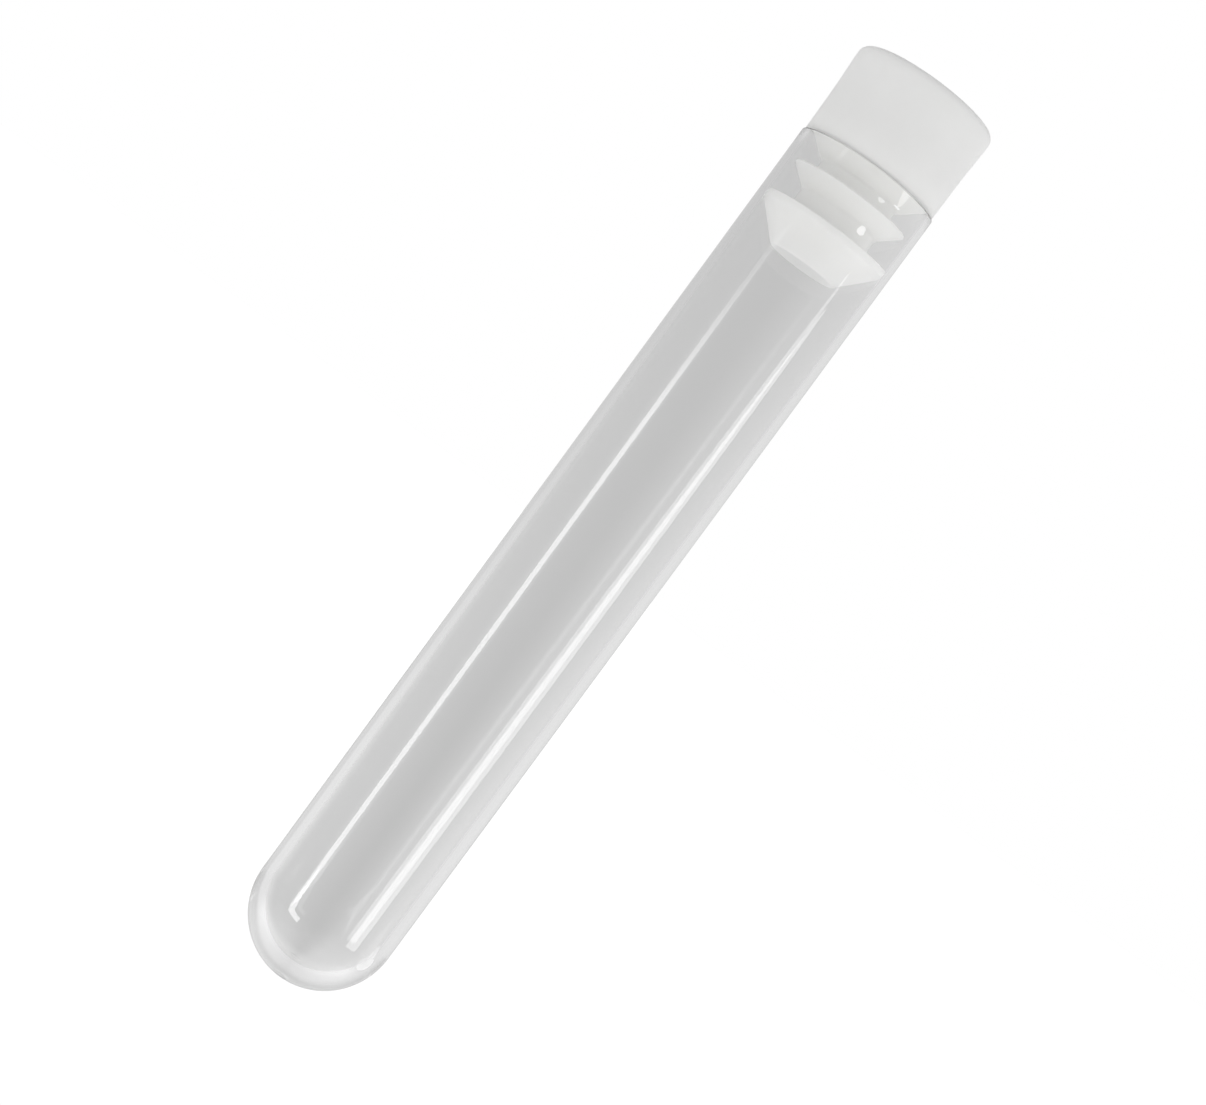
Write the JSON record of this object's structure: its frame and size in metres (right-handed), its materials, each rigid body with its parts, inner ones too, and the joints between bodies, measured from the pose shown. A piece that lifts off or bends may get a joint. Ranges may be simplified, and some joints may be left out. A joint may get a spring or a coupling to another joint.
{
  "type": "test tube",
  "caption": "Clear moulded round-bottom test tube, closed by a white hollow push-in stopper with sealing rings.",
  "frame": {"origin": "lowest point of the round bottom, on the tube's axis", "axes": "+Z along the tube's axis, from the round bottom to the stopper; X and Y are any two directions across it"},
  "size_m": [0.0162, 0.016, 0.1103],
  "materials": {
    "clear_polystyrene": "clear, smooth moulded",
    "white_polyethylene": "translucent white, satin moulded"
  },
  "bodies": {
    "tube": {"tube": "clear_polystyrene"},
    "stopper": {"stopper": "white_polyethylene"}
  },
  "joints": [
    {"name": "stopper_pull", "type": "slide", "parent": "tube", "child": "stopper", "axis": [0, 0, 1], "range_m": [0, 0.03]}
  ]
}
